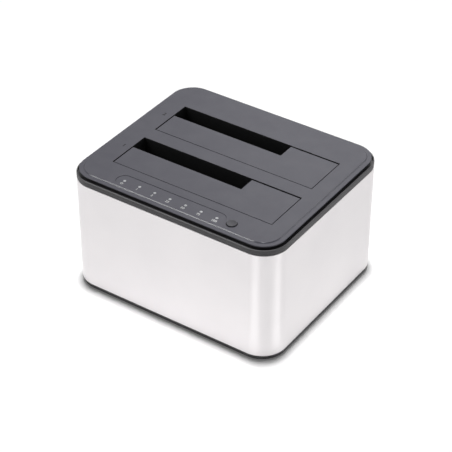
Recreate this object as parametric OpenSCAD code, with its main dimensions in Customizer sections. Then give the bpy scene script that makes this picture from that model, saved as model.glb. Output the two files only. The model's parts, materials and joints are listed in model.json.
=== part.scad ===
// Desktop dock for two hard drives.
// Origin at the centre of the footprint, on the surface the feet stand on.
// +X runs to the right along the front, +Y to the back, +Z up. Millimetres.

/* [Case] */
// Width of the case, left to right
body_w = 135; // [134:0.5:150]
// Depth of the case, front to back
body_d = 114.5; // [112:0.5:130]
// Radius of the upright corners
corner_r = 15; // [12:0.5:18]
// Height of the silver sleeve
shell_h = 67.5; // [64:0.5:90]
// Wall of the silver sleeve
shell_t = 1.6; // [1.2:0.1:2]

/* [Base] */
// Thickness of the base, its dark rim under the sleeve
base_t = 2.7; // [2.4:0.1:4]
// How far the base rim stands back from the sleeve
base_inset = 0.6; // [0.2:0.1:1]
// Diameter of a rubber foot
foot_d = 10; // [8:0.5:12]
// Height of the feet below the base
foot_drop = 0.8; // [0.5:0.1:2]

/* [Top frame and cover] */
// Height of the dark band on top of the sleeve
band_h = 3.5; // [3.2:0.1:5]
// Wall of the band outside the groove round the cover
ring_t = 0.7; // [0.6:0.1:1.2]
// Depth of the groove round the cover
groove_h = 2; // [1:0.1:2.2]
// Height of the cover's top above the band
plate_rise = 2.3; // [2:0.1:3]
// How far the cover's edge stands back from the sleeve
cover_inset = 1.6; // [1.2:0.1:2.2]
// Height of the upright edge of the cover
cover_edge_h = 0.6; // [0.5:0.1:1.3]
// Width of the flat border round the raised middle of the cover
border_w = 2.4; // [1:0.1:2.6]
// Width of the bevel that leads up to the middle of the cover
bevel_w = 0.5; // [0.3:0.05:0.8]
// Height of that bevel
bevel_h = 0.5; // [0.3:0.05:0.7]
// Thickness of the cover inside the frame
cover_t = 2.5; // [2.4:0.1:3.2]

/* [Drive slots] */
// Cover beyond either end of a slot, which leaves the slot long enough for a drive 101.6 wide
slot_end = 15.2; // [14.8:0.1:15.8]
// Width of a slot, for a drive 26.1 thick beside an open flap
slot_w = 29.45; // [29:0.05:30]
// Distance between the two slots, centre to centre
slot_pitch = 39.25; // [38.5:0.25:41]
// Shift of the slots to the right of the centre
slot_shift_x = 1.2; // [0:0.1:2]
// Shift of the pair of slots to the front of the centre
slot_shift_y = 1.6; // [0:0.05:3]
// Length of the opening that stays free for a drive 69.85 wide
small_l = 73.3; // [71.5:0.1:75]
// Width of the opening that stays free for a drive 9.5 thick
small_w = 11.65; // [10.5:0.05:12.5]
// Wall of the drive wells
well_t = 1.5; // [1.2:0.1:1.8]

/* [Flaps] */
// Thickness of a flap
flap_t = 2; // [1.6:0.1:2.1]
// Gap at the right end of a flap
flap_gap = 0.45; // [0.4:0.05:1]
// Gap at the left end of a flap
flap_left_gap = 0.8; // [0.4:0.05:1]
// Gap behind the wide part of a flap
flap_back_gap = 1.15; // [0.4:0.05:1.3]
// Gap along the hinged edge of a flap
flap_hinge_gap = 0.4; // [0.35:0.05:0.5]
// Diameter of a hinge pin
pin_d = 1.6; // [1.4:0.1:1.7]
// Depth of the hinge axis below the top of the cover
hinge_drop = 3.2; // [3.1:0.05:3.4]
// Wire of the flap springs
spring_wire = 0.5; // [0.4:0.05:0.55]

/* [Indicators and button] */
// Number of indicator lights
led_count = 7; // [3:1:7]
// Distance between lights
led_pitch = 10.1; // [8.5:0.1:10.4]
// Middle of the row of lights, left of the centre
led_shift = 4.05; // [3.5:0.05:6]
// Distance of the row from the front of the case
led_setback = 10.3; // [10.2:0.05:11.5]
// Diameter of a light
led_d = 1.6; // [1.2:0.1:2]
// End radius of the pill-shaped inlay
pill_r = 4.9; // [4:0.1:5.6]
// Step from the cover down to the inlay
pill_step = 0.2; // [0.15:0.05:0.5]
// Thickness of the inlay
pill_t = 0.7; // [0.5:0.1:0.9]
// Diameter of the round button
button_d = 5.8; // [5:0.1:6.4]
// Height of the round button above the cover
button_rise = 0.6; // [0.5:0.1:1]
// Distance from the last light to the round button
button_gap = 9.4; // [9:0.1:10.2]
// Travel of the round button
button_travel = 0.5; // [0.3:0.05:0.5]

/* [Boards and ports] */
// Thickness of the main board
board_t = 1.6; // [1.2:0.1:2]
// Height of the board posts above the base
board_rise = 4.5; // [4:0.1:6]
// Height of a drive socket on the board
socket_h = 9.5; // [8.5:0.1:11]
// Width of the plate round the rear ports
port_w = 84; // [78:0.5:90]
// Distance of the outer rear ports from the middle one
port_pitch = 24; // [20:0.5:26]
// Diameter of the power button
power_d = 8; // [7:0.5:8.5]
// Travel of the power button
power_travel = 2; // [1:0.1:2.2]
// Bore of the supply jack
jack_bore = 6.4; // [6.2:0.1:6.6]
// Pin of the supply jack
jack_pin_d = 2.1; // [2:0.1:2.5]

/* [Hidden] */
$fn = 64;
// Clearance between pieces that are seated in each other
seat = 0.2;
// Radial clearance of a pin that turns or a stem that slides
run = 0.05;
// Overlap where two shapes of one piece are joined, and where a cut leaves a face
eps = 0.1;
cut = 1;

// Heights
z_shell = foot_drop + base_t;
z_band = z_shell + shell_h;
z_ring = z_band + band_h;
z_top = z_ring + plate_rise;
z_edge = z_top - bevel_h;
z_seat = z_edge - cover_edge_h;
z_under = z_top - cover_t;
z_board = z_shell + board_rise;
z_parts = z_board + board_t;
z_socket = z_parts + socket_h;

// Sleeve, lip and frame
inside = shell_t + seat;
lip_t = 1.6;
lip_h = 5.5;
skirt_h = 5;
reveal_h = 0.4;
reveal_in = 0.6;
ring_chamfer = 0.3;
groove_in = 3.2;
ledge_in = 5;
spigot_in = ledge_in + seat;

// Screw sizes: shank radius, head radius, head height
m3 = [1.45, 2.7, 2];
m25 = [1.2, 2.3, 1.5];
m2 = [0.95, 1.8, 1.2];
pilot_gap = 0.05;
pass_gap = 0.25;

// Case posts at the four corners
post_in = 10.5;
post_r = 3.5;
boss_r = 4;
boss_h = 10.5;
head_web = 2.4;
post_x = body_w / 2 - post_in;
post_y = body_d / 2 - post_in;
z_post = z_shell + boss_h;
screw_bite = 9;
tab_t = 3.5;
tab_half = 3.5;
tab_gap = 7;
tab_rise = 1;
cover_boss_r = 2.6;
tab_in = ledge_in + 2 * seat + cover_boss_r;
cover_screw_x = body_w / 2 - tab_in;
cover_screw_y = post_y - tab_gap;
z_tab = z_band + tab_rise;
skin = 1;

// Feet
foot_seat = 0.7;
foot_in_x = 22.5;
foot_in_y = 17.25;

// Vents in the base
vent_count = 7;
vent_pitch = 6;
vent_l = 40;
vent_w = 2;

// Slots, numbered from the front
slot_l = body_w - 2 * slot_end;
slot_x0 = slot_shift_x - slot_l / 2;
slot_x1 = slot_shift_x + slot_l / 2;
slot_y0 = [for (s = [-1, 1]) s * slot_pitch / 2 - slot_shift_y - slot_w / 2];

// Drive wells: floor, cut for the hinge, and ears with their screws
well_floor = 1.5;
floor_below_socket = 2.6;
z_floor = z_socket - floor_below_socket;
well_notch_gap = 1.1;
ear_out = 4;
ear_w = 6.4;
ear_t = 3;
ear_drop = 6.5;
ear_margin = 9.5;
well_boss_r = 2.6;
z_ear = z_under - ear_drop;

// Hinge of a flap
open_gap = 0.3;
flap_face = flap_t + open_gap;
lip_skin = 1.2;
knuckle_r = 1.7;
knuckle_l = 7.4;
knuckle_gap = 0.5;
gusset_reach = 4.2;
gusset_below = 0.5;
heel_gap = 0.1;
lug_l = 3;
lug_in = 2;
lug_r = 1.8;
lug_front = 2.4;
lug_back = 0.7;
knuckle_in = lug_in + lug_l + knuckle_gap;
pin_end = 0.5;
relief = 3.4;
hinge_back = hinge_drop - flap_face;
well_notch = hinge_drop + gusset_reach + well_notch_gap;

// Flap spring, wound on the pin beside the middle lug
spring_r = 1.4;
spring_gap = 0.5;
spring_pitch = spring_wire + spring_gap;
spring_turns = 5;
spring_rings = 8;
spring_sides = 6;
spring_leg_up = 3.5;
spring_leg_down = 4;
spring_start = -15;
spring_end = 305;
spring_off = 1;

// Indicator row
led_y = led_setback - body_d / 2;
led_x = [for (i = [0 : led_count - 1]) (i - (led_count - 1) / 2) * led_pitch - led_shift];
led_last = led_x[led_count - 1];
button_x = led_last + button_gap;
guide_h = 3.4;
guide_w = 3;
guide_gap = 0.3;
led_size = [1.6, 1.2, 0.8];
z_led_board = z_under - guide_h - guide_gap - led_size[2];
led_board_t = 1.2;
led_board_d = 9.8;
led_board_out = 9.6;
led_boss_r = 2.4;
led_boss_in = 2.8;
led_boss_x = [led_x[0] - led_board_out + led_boss_in, button_x + led_board_out - led_boss_in];
button_flange = 0.7;
button_flange_out = 0.9;
button_rest = 0.2;
button_play = 0.25;
plunger_r = 1.4;
plunger_h = 1.4;
tact = [6, 6, 1.8];
plunger_clear = 0.1;
plunger_sunk = button_travel + plunger_clear;
tact_bore = plunger_sunk + button_travel + plunger_clear;
z_plunger = z_led_board + tact[2] - plunger_sunk;
z_stem = z_plunger + plunger_h;

// Main board and what stands on it
board_side = 15.5;
board_front = 6.25;
board_back = 5.25;
board_x = body_w / 2 - board_side;
board_y0 = board_front - body_d / 2;
board_y1 = body_d / 2 - board_back;
board_post_r = 3;
board_post_side = 6;
board_post_front = 7;
board_post_back = 18;
board_post_x = board_x - board_post_side;
board_post_y = [board_y0 + board_post_front, board_y1 - board_post_back];
board_screw_l = 5.5;
chips = [[14, 18, 12, 12, 1.4], [-24, -24, 7, 7, 1.2], [24, -24, 6, 5, 1.5], [-20, 12, 5, 3.2, 1]];
can_r = 3.8;
can_h = 12;
coil = [7.6, 9, 4.5];
rear_row = 13;
rear_row_side = 4.2;
rear_row_pitch = 8;
rear_row_x = [for (i = [0, 1]) board_x - rear_row_side - i * rear_row_pitch];

// Drive socket: centre from the slot's left end and from its back
socket = [41, 6.2];
socket_from_left = 31.2;
socket_from_back = 4.8;
socket_gap = 0.6;
tongue_t = 2.4;
tongue_depth = 5.5;
tongue_key = 1.3;
tongue_end = 3.6;
data_l = 10.4;
power_l = 20.6;
tongue_split = 2.4;
contact = [0.6, 0.35, 4.6];
contact_pitch = 1.27;

// Rear ports, all on one axis height
port_axis = 6;
z_port = z_parts + port_axis;
plate_t = 1.6;
plate_over = 2;
plate_face = 0.8;
plate_gap = 0.1;
window_gap = 0.15;
window_below = 2.6;
window_above = 15.4;
window_z0 = z_parts - window_below;
window_z1 = z_parts + window_above;
y_back = body_d / 2;
y_plate = y_back - shell_t - plate_gap - plate_t;
port_gap = 0.25;
port_recess = 0.2;
y_port = y_back - plate_face - port_recess;
jack = [9, 11, 11.5];
jack_nose_r = 4;
jack_depth = 11;
jack_pin_back = 0.75;
usb = [12, 13, 16];
usb_wall = 0.4;
usb_cavity = [8.5, 7.4];
usb_upper = [5.6, 3];
usb_depth = 9;
usb_tongue = [5.6, 3.2, 8];
usb_floor = 1.3;
power_flange = 1.6;
power_flange_out = 1.2;
power_rest = 0.3;
power_play = 0.3;
power_proud = 0.6;
y_flange = y_plate - power_rest - power_flange;
switch = [9, 10.5];
stem_r = 1.6;
stem_grip = 5;
stop_room = 1;
y_switch = y_flange - power_travel - stop_room;
switch_bore = stem_grip + power_travel + stop_room / 2;

// Ribbon between the boards
ribbon_x = -14;
header = [12, 5, 6];
ribbon = [10.2, 0.9];

sleeve_silver = "#dcdddf";
cover_grey = "#66666b";
band_grey = "#4c4c50";
plastic_black = "#1b1b1d";
steel = "#b4b6ba";
board_green = "#1f5a3c";

// Box from one corner to the other
module span(a, b) {
    translate(a) cube(b - a);
}

// Round bar from a point along +Z
module post(x, y, z0, z1, r) {
    translate([x, y, z0]) cylinder(h = z1 - z0, r = r);
}

// Round bar along +Y
module bar_y(x, z, y0, y1, r) {
    translate([x, y1, z]) rotate([90, 0, 0]) cylinder(h = y1 - y0, r = r);
}

// Round bar along +X
module bar_x(y, z, x0, x1, r) {
    translate([x0, y, z]) rotate([0, 90, 0]) cylinder(h = x1 - x0, r = r);
}

// Same thing at the four corners
module corners(x, y) {
    for (sx = [-1, 1], sy = [-1, 1]) translate([sx * x, sy * y, 0]) children();
}

// Outline of the case, drawn in by an inset
module outline(inset) {
    r = corner_r - inset;
    w = body_w - 2 * inset;
    d = body_d - 2 * inset;
    square([w - 2 * r, d], center = true);
    square([w, d - 2 * r], center = true);
    corners(w / 2 - r, d / 2 - r) circle(r = r);
}

// Slab of the case outline between two heights
module slab(inset, z0, z1) {
    translate([0, 0, z0]) linear_extrude(z1 - z0) outline(inset);
}

// Slab whose sides lean in by a bevel over its height
module bevel_slab(inset, z0, z1, lean) {
    r = corner_r - inset;
    half_w = body_w / 2 - inset;
    half_d = body_d / 2 - inset;
    translate([corner_r - body_w / 2, 0, 0]) rotate([90, 0, 90]) linear_extrude(body_w - 2 * corner_r)
        polygon([[-half_d, z0], [half_d, z0], [half_d - lean, z1], [lean - half_d, z1]]);
    translate([0, body_d / 2 - corner_r, 0]) rotate([90, 0, 0]) linear_extrude(body_d - 2 * corner_r)
        polygon([[-half_w, z0], [half_w, z0], [half_w - lean, z1], [lean - half_w, z1]]);
    corners(body_w / 2 - corner_r, body_d / 2 - corner_r) translate([0, 0, z0])
        cylinder(h = z1 - z0, r1 = r, r2 = r - lean);
}

// Pan head screw that points along +Z, with its head's underside at the origin
module screw_up(size, length) {
    slot_t = size[1] * 0.3;
    slot_len = size[1] * 1.2;
    translate([0, 0, -eps]) cylinder(h = length + eps, r = size[0]);
    difference() {
        translate([0, 0, -size[2]]) cylinder(h = size[2], r = size[1]);
        for (a = [0, 90]) rotate([0, 0, a]) translate([-slot_len / 2, -slot_t / 2, -size[2] - cut])
            cube([slot_len, slot_t, size[2] / 2 + cut]);
    }
}

// Pan head screw that points along -Z
module screw_down(size, length) {
    rotate([180, 0, 0]) screw_up(size, length);
}

// Same thing at the four posts of the main board
module board_posts() {
    for (sx = [-1, 1], y = board_post_y) translate([sx * board_post_x, y, 0]) children();
}

// Case

module aluminium_shell() {
    color(sleeve_silver) difference() {
        slab(0, z_shell, z_band);
        slab(shell_t, z_shell - cut, z_band + cut);
        span([-port_w / 2, y_back - shell_t - cut, window_z0], [port_w / 2, y_back + cut, window_z1]);
    }
}

module base_tray() {
    color(plastic_black) difference() {
        union() {
            slab(base_inset, foot_drop, z_shell);
            difference() {
                slab(inside, z_shell - eps, z_shell + lip_h);
                slab(inside + lip_t, z_shell - cut, z_shell + lip_h + cut);
                span([-port_w / 2 - plate_over - seat, y_plate - seat, z_shell],
                     [port_w / 2 + plate_over + seat, y_back, z_shell + lip_h + cut]);
            }
            corners(post_x, post_y) post(0, 0, z_shell - eps, z_post, boss_r);
            board_posts() post(0, 0, z_shell - eps, z_board, board_post_r);
        }
        corners(post_x, post_y) {
            post(0, 0, foot_drop - cut, z_post + cut, m3[0] + pass_gap);
            post(0, 0, foot_drop - cut, z_post - head_web, m3[1] + pass_gap);
        }
        corners(body_w / 2 - foot_in_x, body_d / 2 - foot_in_y)
            post(0, 0, foot_drop - cut, foot_drop + foot_seat, foot_d / 2 + seat);
        board_posts() post(0, 0, foot_drop + skin, z_board + cut, m25[0] + pilot_gap);
        for (i = [0 : vent_count - 1]) {
            y = (i - (vent_count - 1) / 2) * vent_pitch;
            span([-vent_l / 2, y - vent_w / 2, foot_drop - cut], [vent_l / 2, y + vent_w / 2, z_shell + cut]);
        }
    }
}

module rubber_feet() {
    color("#2a2a2c") corners(body_w / 2 - foot_in_x, body_d / 2 - foot_in_y)
        post(0, 0, 0, foot_drop + foot_seat, foot_d / 2);
}

module case_screws() {
    color(steel) corners(post_x, post_y) translate([0, 0, z_post - head_web])
        screw_up(m3, head_web + screw_bite);
}

// Block at one corner of the frame, taller than the tabs that are cut from it
module corner_block(sx, sy, a, b) {
    x = [sx * a[0], sx * b[0]];
    y = [sy * a[1], sy * b[1]];
    span([min(x), min(y), z_tab - tab_t - cut], [max(x), max(y), z_tab + cut]);
}

// Solid band between the sleeve and the cover, with a shadow gap under it
module band() {
    slab(reveal_in, z_band, z_band + reveal_h + eps);
    slab(0, z_band + reveal_h, z_ring - ring_chamfer);
    bevel_slab(0, z_ring - ring_chamfer, z_ring, ring_chamfer);
}

module top_frame() {
    color(band_grey) difference() {
        union() {
            difference() {
                union() {
                    difference() {
                        band();
                        slab(ring_t, z_ring - groove_h, z_ring + cut);
                    }
                    slab(groove_in, z_ring - groove_h - eps, z_seat);
                    slab(inside, z_band - skirt_h, z_band + eps);
                }
                slab(inside + lip_t, z_band - skirt_h - cut, z_band - eps);
                slab(ledge_in, z_band - skirt_h - cut, z_seat + cut);
            }
            intersection() {
                slab(inside + lip_t / 2, z_tab - tab_t, z_tab);
                for (sx = [-1, 1], sy = [-1, 1])
                    corner_block(sx, sy, [post_x - tab_half, cover_screw_y - tab_half],
                                 [body_w / 2, post_y + tab_half]);
            }
            corners(post_x, post_y) post(0, 0, z_post, z_tab, post_r);
        }
        corners(post_x, post_y) post(0, 0, z_post - cut, z_post + screw_bite + skin, m3[0] + pilot_gap);
        corners(cover_screw_x, cover_screw_y) post(0, 0, z_tab - tab_t - cut, z_tab + cut, m25[0] + pass_gap);
    }
}

// Centres of the ear screws on either side of a well
function ear_x(side) = side < 0 ? slot_x0 - well_t - ear_out : slot_x1 + well_t + ear_out;
function ear_y(y0) = [y0 + ear_margin, y0 + slot_w - ear_margin];

// Hinge axis of the slot that starts at y0
function hinge_y(y0) = y0 - hinge_back;
hinge_z = z_top - hinge_drop;
lug_x = [slot_x0 + lug_in, slot_shift_x - lug_l / 2, slot_x1 - lug_in - lug_l];

module top_cover() {
    color(cover_grey) difference() {
        union() {
            difference() {
                union() {
                    slab(cover_inset, z_seat, z_edge);
                    bevel_slab(cover_inset + border_w, z_edge - eps, z_top, bevel_w);
                    slab(spigot_in, z_under, z_edge);
                }
                for (y0 = slot_y0) {
                    span([slot_x0, y0, z_under - cut], [slot_x1, y0 + slot_w, z_top + cut]);
                    span([slot_x0, y0 - relief, z_under - cut], [slot_x1, y0 + eps, z_top - lip_skin]);
                }
                translate([0, led_y, z_top - pill_step - pill_t]) linear_extrude(cover_t)
                    pill(pill_r + seat / 2);
                for (x = led_x) post(x, led_y, z_under - cut, z_top, led_d / 2 + run);
                post(button_x, led_y, z_under - cut, z_top + cut, button_d / 2 + button_play);
            }
            for (y0 = slot_y0) {
                for (side = [-1, 1], y = ear_y(y0)) post(ear_x(side), y, z_ear, z_under + eps, well_boss_r);
                for (x = lug_x) hinge_lug(x, y0);
            }
            corners(cover_screw_x, cover_screw_y) post(0, 0, z_tab, z_under + eps, cover_boss_r);
            for (x = led_boss_x) post(x, led_y, z_led_board, z_under + eps, led_boss_r);
        }
        for (y0 = slot_y0) {
            for (side = [-1, 1], y = ear_y(y0))
                post(ear_x(side), y, z_ear - cut, z_top - skin, m25[0] + pilot_gap);
            bar_x(hinge_y(y0), hinge_z, slot_x0, slot_x1, pin_d / 2 + pilot_gap / 2);
        }
        corners(cover_screw_x, cover_screw_y) post(0, 0, z_tab - cut, z_top - skin, m25[0] + pilot_gap);
        for (x = led_boss_x) post(x, led_y, z_led_board - cut, z_top - skin, m2[0] + pilot_gap);
    }
}

// Lug under the cover that holds the hinge pin
module hinge_lug(x, y0) {
    y = hinge_y(y0);
    span([x, y - lug_front, hinge_z - lug_r], [x + lug_l, y + lug_back, z_top - lip_skin + eps]);
}

module cover_screws() {
    color(steel) corners(cover_screw_x, cover_screw_y) translate([0, 0, z_tab - tab_t])
        screw_up(m25, z_top - skin - z_tab + tab_t - eps);
}

// Flaps

// Outline of a flap, drawn from the slot's front left corner
module flap_outline() {
    square_span([flap_left_gap, flap_hinge_gap], [slot_l - flap_gap, slot_w - small_w]);
    square_span([small_l, flap_hinge_gap], [slot_l - flap_gap, slot_w - flap_back_gap]);
}

module square_span(a, b) {
    translate(a) square(b - a);
}

module flap(y0) {
    y = hinge_y(y0);
    knuckle_x = [slot_x0 + knuckle_in, slot_x1 - knuckle_in - knuckle_l];
    color(cover_grey) difference() {
        union() {
            translate([slot_x0, y0, z_top - flap_t]) linear_extrude(flap_t) flap_outline();
            for (x = knuckle_x) {
                bar_x(y, hinge_z, x, x + knuckle_l, knuckle_r);
                span([x, y, hinge_z - gusset_below], [x + knuckle_l, y + gusset_reach, z_top - flap_t + eps]);
                span([x, y, hinge_z],
                     [x + knuckle_l, y0 + flap_hinge_gap + eps, z_top - lip_skin - heel_gap]);
            }
        }
        bar_x(y, hinge_z, slot_x0, slot_x1, pin_d / 2 + run);
    }
}

module front_flap() {
    flap(slot_y0[0]);
}

module rear_flap() {
    flap(slot_y0[1]);
}

module hinge_pin(y0) {
    past = lug_in - pin_end;
    color(steel) bar_x(hinge_y(y0), hinge_z, slot_x0 + past, slot_x1 - past, pin_d / 2);
}

module front_hinge_pin() {
    hinge_pin(slot_y0[0]);
}

module rear_hinge_pin() {
    hinge_pin(slot_y0[1]);
}

// Centre line of a flap spring round the X axis: a leg, the turns and a second leg
function on_turn(a, x) = [x, spring_r * cos(a), spring_r * sin(a)];
spring_last = spring_rings * spring_turns;
spring_sweep = 360 * (spring_turns - 1) + spring_end - spring_start;
function spring_angle(i) = spring_start + i * spring_sweep / spring_last;
spring_coil = [for (i = [0 : spring_last])
    on_turn(spring_angle(i), (spring_angle(i) - spring_start) / 360 * spring_pitch)];
spring_line = concat(
    [spring_coil[0] + spring_leg_down * [0, sin(spring_start), -cos(spring_start)]],
    spring_coil,
    [spring_coil[spring_last] + spring_leg_up * [0, -sin(spring_end), cos(spring_end)]]
);
spring_apart = [for (i = [0 : spring_last - spring_rings], j = [i + spring_rings / 2 : spring_last])
    norm(spring_coil[i] - spring_coil[j]) - spring_wire];
echo(spring_gap_to_itself = min(spring_apart));

function unit(v) = v / norm(v);

// Tube swept along points whose direction never runs along X
module wire(points, r, sides) {
    last = len(points) - 1;
    rings = [for (i = [0 : last])
        let (t = unit(points[min(i + 1, last)] - points[max(i - 1, 0)]),
             n = unit(cross(t, [1, 0, 0])),
             b = cross(t, n))
        for (k = [0 : sides - 1]) points[i] + r * (cos(360 * k / sides) * n + sin(360 * k / sides) * b)];
    walls = [for (i = [0 : last - 1], k = [0 : sides - 1])
        let (a = i * sides + k, b = i * sides + (k + 1) % sides)
        each [[a, a + sides, b], [b, a + sides, b + sides]]];
    caps = [for (k = [1 : sides - 2]) each
        [[0, k, k + 1], [last * sides, last * sides + k + 1, last * sides + k]]];
    polyhedron(points = rings, faces = concat(walls, caps));
}

module flap_spring(y0) {
    color(steel) translate([slot_shift_x + lug_l / 2 + spring_off, hinge_y(y0), hinge_z])
        wire(spring_line, spring_wire / 2, spring_sides);
}

module front_flap_spring() {
    flap_spring(slot_y0[0]);
}

module rear_flap_spring() {
    flap_spring(slot_y0[1]);
}

// Drive wells and sockets

// Place of a socket's centre under the slot that starts at y0
function socket_x() = slot_x0 + socket_from_left;
function socket_y(y0) = y0 + slot_w - socket_from_back;

module drive_well(y0) {
    y1 = y0 + slot_w;
    color(plastic_black) difference() {
        union() {
            span([slot_x0 - well_t, y0 - well_t, z_floor - well_floor],
                 [slot_x1 + well_t, y1 + well_t, z_under]);
            for (side = [-1, 1], y = ear_y(y0)) {
                x = [ear_x(side) - side * (ear_out + eps), ear_x(side) + side * ear_w / 2];
                span([min(x), y - ear_w / 2, z_ear - ear_t], [max(x), y + ear_w / 2, z_ear]);
            }
        }
        span([slot_x0, y0, z_floor], [slot_x1, y1, z_under + cut]);
        span([slot_x0 - well_t - cut, y0 - well_t - cut, z_top - well_notch],
             [slot_x1 + well_t + cut, y0 + eps, z_top]);
        translate([socket_x(), socket_y(y0), z_floor]) cube([
            socket[0] + 2 * socket_gap, socket[1] + 2 * socket_gap, 2 * well_floor + cut], center = true);
        for (side = [-1, 1], y = ear_y(y0))
            post(ear_x(side), y, z_ear - ear_t - cut, z_ear + cut, m25[0] + pass_gap);
    }
}

module front_drive_well() {
    drive_well(slot_y0[0]);
}

module rear_drive_well() {
    drive_well(slot_y0[1]);
}

module well_screws() {
    color(steel) for (y0 = slot_y0, side = [-1, 1], y = ear_y(y0))
        translate([ear_x(side), y, z_ear - ear_t]) screw_up(m25, ear_t + ear_drop + skin);
}

// Left ends of the two tongue slots, from the socket's centre
tongue_x = [-(data_l + tongue_split + power_l) / 2, -(power_l - tongue_split - data_l) / 2];
tongue_l = [data_l, power_l];

module sata_socket(y0) {
    color(plastic_black) translate([socket_x(), socket_y(y0), 0]) difference() {
        span([-socket[0] / 2, -socket[1] / 2, z_parts], [socket[0] / 2, socket[1] / 2, z_socket]);
        for (i = [0, 1]) {
            span([tongue_x[i], -tongue_t / 2, z_socket - tongue_depth],
                 [tongue_x[i] + tongue_l[i], tongue_t / 2, z_socket + cut]);
            span([tongue_x[i], -tongue_t / 2, z_socket - tongue_depth],
                 [tongue_x[i] + tongue_key, tongue_end - tongue_t / 2, z_socket + cut]);
        }
    }
}

module front_sata_socket() {
    sata_socket(slot_y0[0]);
}

module rear_sata_socket() {
    sata_socket(slot_y0[1]);
}

module sata_contacts(y0) {
    color("gold") translate([socket_x(), socket_y(y0), 0]) for (i = [0, 1]) {
        count = floor((tongue_l[i] - tongue_key) / contact_pitch);
        x0 = tongue_x[i] + (tongue_l[i] - (count - 1) * contact_pitch) / 2;
        for (k = [0 : count - 1])
            translate([x0 + k * contact_pitch - contact[0] / 2, -tongue_t / 2, z_socket - tongue_depth])
                cube(contact);
    }
}

module front_sata_contacts() {
    sata_contacts(slot_y0[0]);
}

module rear_sata_contacts() {
    sata_contacts(slot_y0[1]);
}

// Indicator row

// Pill outline along the row of lights, centred on the row in Y
module pill(r) {
    square_span([led_x[0], -r], [led_last, r]);
    for (x = [led_x[0], led_last]) translate([x, 0]) circle(r = r);
}

module indicator_panel() {
    color(cover_grey) difference() {
        translate([0, led_y, z_top - pill_step - pill_t]) linear_extrude(pill_t) pill(pill_r);
        for (x = led_x) post(x, led_y, z_under, z_top, led_d / 2 + run);
    }
}

module light_guide() {
    color("#e8eef2") {
        span([led_x[0] - guide_w / 2, led_y - guide_w / 2, z_under - guide_h],
             [led_last + guide_w / 2, led_y + guide_w / 2, z_under]);
        for (x = led_x) post(x, led_y, z_under - eps, z_top - pill_step, led_d / 2);
    }
}

module led_board() {
    color(board_green) difference() {
        span([led_x[0] - led_board_out, led_y - led_board_d / 2, z_led_board - led_board_t],
             [button_x + led_board_out, led_y + led_board_d / 2, z_led_board]);
        for (x = led_boss_x)
            post(x, led_y, z_led_board - led_board_t - cut, z_led_board + cut, m2[0] + pass_gap);
    }
}

module leds() {
    color("#f4f6e0") for (x = led_x)
        translate([x - led_size[0] / 2, led_y - led_size[1] / 2, z_led_board]) cube(led_size);
}

module led_board_screws() {
    color(steel) for (x = led_boss_x) translate([x, led_y, z_led_board - led_board_t])
        screw_up(m2, led_board_t + z_top - skin - z_led_board - eps);
}

module tact_switch() {
    color(plastic_black) translate([button_x, led_y, z_led_board]) difference() {
        translate([-tact[0] / 2, -tact[1] / 2, 0]) cube(tact);
        translate([0, 0, tact[2] - tact_bore]) cylinder(h = tact_bore + cut, r = plunger_r + run);
    }
}

module tact_plunger() {
    color("#3a3a3d") post(button_x, led_y, z_plunger, z_stem, plunger_r);
}

module clone_button() {
    z_flange = z_under - button_rest - button_flange;
    color(cover_grey) {
        post(button_x, led_y, z_flange, z_top + button_rise, button_d / 2);
        post(button_x, led_y, z_flange, z_flange + button_flange, button_d / 2 + button_flange_out);
        post(button_x, led_y, z_stem, z_flange + eps, plunger_r);
    }
}

// Main board

module main_board() {
    color(board_green) difference() {
        span([-board_x, board_y0, z_board], [board_x, board_y1, z_parts]);
        board_posts() post(0, 0, z_board - cut, z_parts + cut, m25[0] + pass_gap);
    }
}

module board_screws() {
    color(steel) board_posts() translate([0, 0, z_parts]) screw_down(m25, board_screw_l);
}

module bridge_chips() {
    color("#232326") for (c = chips)
        translate([c[0] - c[2] / 2, c[1] - c[3] / 2, z_parts]) cube([c[2], c[3], c[4]]);
}

module capacitors() {
    color("#30343c") for (x = rear_row_x) post(x, y_back - rear_row, z_parts, z_parts + can_h, can_r);
}

module power_coils() {
    color("#4a4a4e") for (x = rear_row_x)
        translate([-x - coil[0] / 2, y_back - rear_row - coil[1] / 2, z_parts]) cube(coil);
}

// Rear ports

module port_plate() {
    over = port_w / 2 + plate_over;
    color(plastic_black) difference() {
        union() {
            span([-over, y_plate, z_shell], [over, y_plate + plate_t, window_z1 + plate_over]);
            span([-port_w / 2 + window_gap, y_plate, window_z0 + window_gap],
                 [port_w / 2 - window_gap, y_back - plate_face, window_z1 - window_gap]);
        }
        span([-usb[0] / 2 - port_gap, y_plate - cut, z_parts - port_gap],
             [usb[0] / 2 + port_gap, y_back, z_parts + usb[1] + port_gap]);
        bar_y(-port_pitch, z_port, y_plate - cut, y_back, jack_nose_r + port_gap);
        bar_y(port_pitch, z_port, y_plate - cut, y_back, power_d / 2 + power_play);
    }
}

module usb_port_shell() {
    color(steel) translate([0, y_port, z_parts]) difference() {
        span([-usb[0] / 2, -usb[2], 0], [usb[0] / 2, 0, usb[1]]);
        span([usb_wall - usb[0] / 2, usb_wall - usb[2], usb_wall],
             [usb[0] / 2 - usb_wall, cut, usb[1] - usb_wall]);
    }
}

module usb_insulator() {
    wall = usb_wall;
    z_step = usb_floor + usb_cavity[1];
    z_mid = usb_floor + usb_cavity[1] / 2 - usb_tongue[1] / 2;
    color("#2f6fb8") translate([0, y_port, z_parts]) {
        difference() {
            span([wall - usb[0] / 2, wall - usb[2], wall], [usb[0] / 2 - wall, -seat, usb[1] - wall]);
            span([-usb_cavity[0] / 2, -usb_depth, usb_floor], [usb_cavity[0] / 2, cut, z_step]);
            span([-usb_upper[0] / 2, -usb_depth, usb_floor], [usb_upper[0] / 2, cut, z_step + usb_upper[1]]);
        }
        span([-usb_tongue[0] / 2, -usb_depth - eps, z_mid],
             [usb_tongue[0] / 2, usb_tongue[2] - usb_depth, z_mid + usb_tongue[1]]);
    }
}

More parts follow.
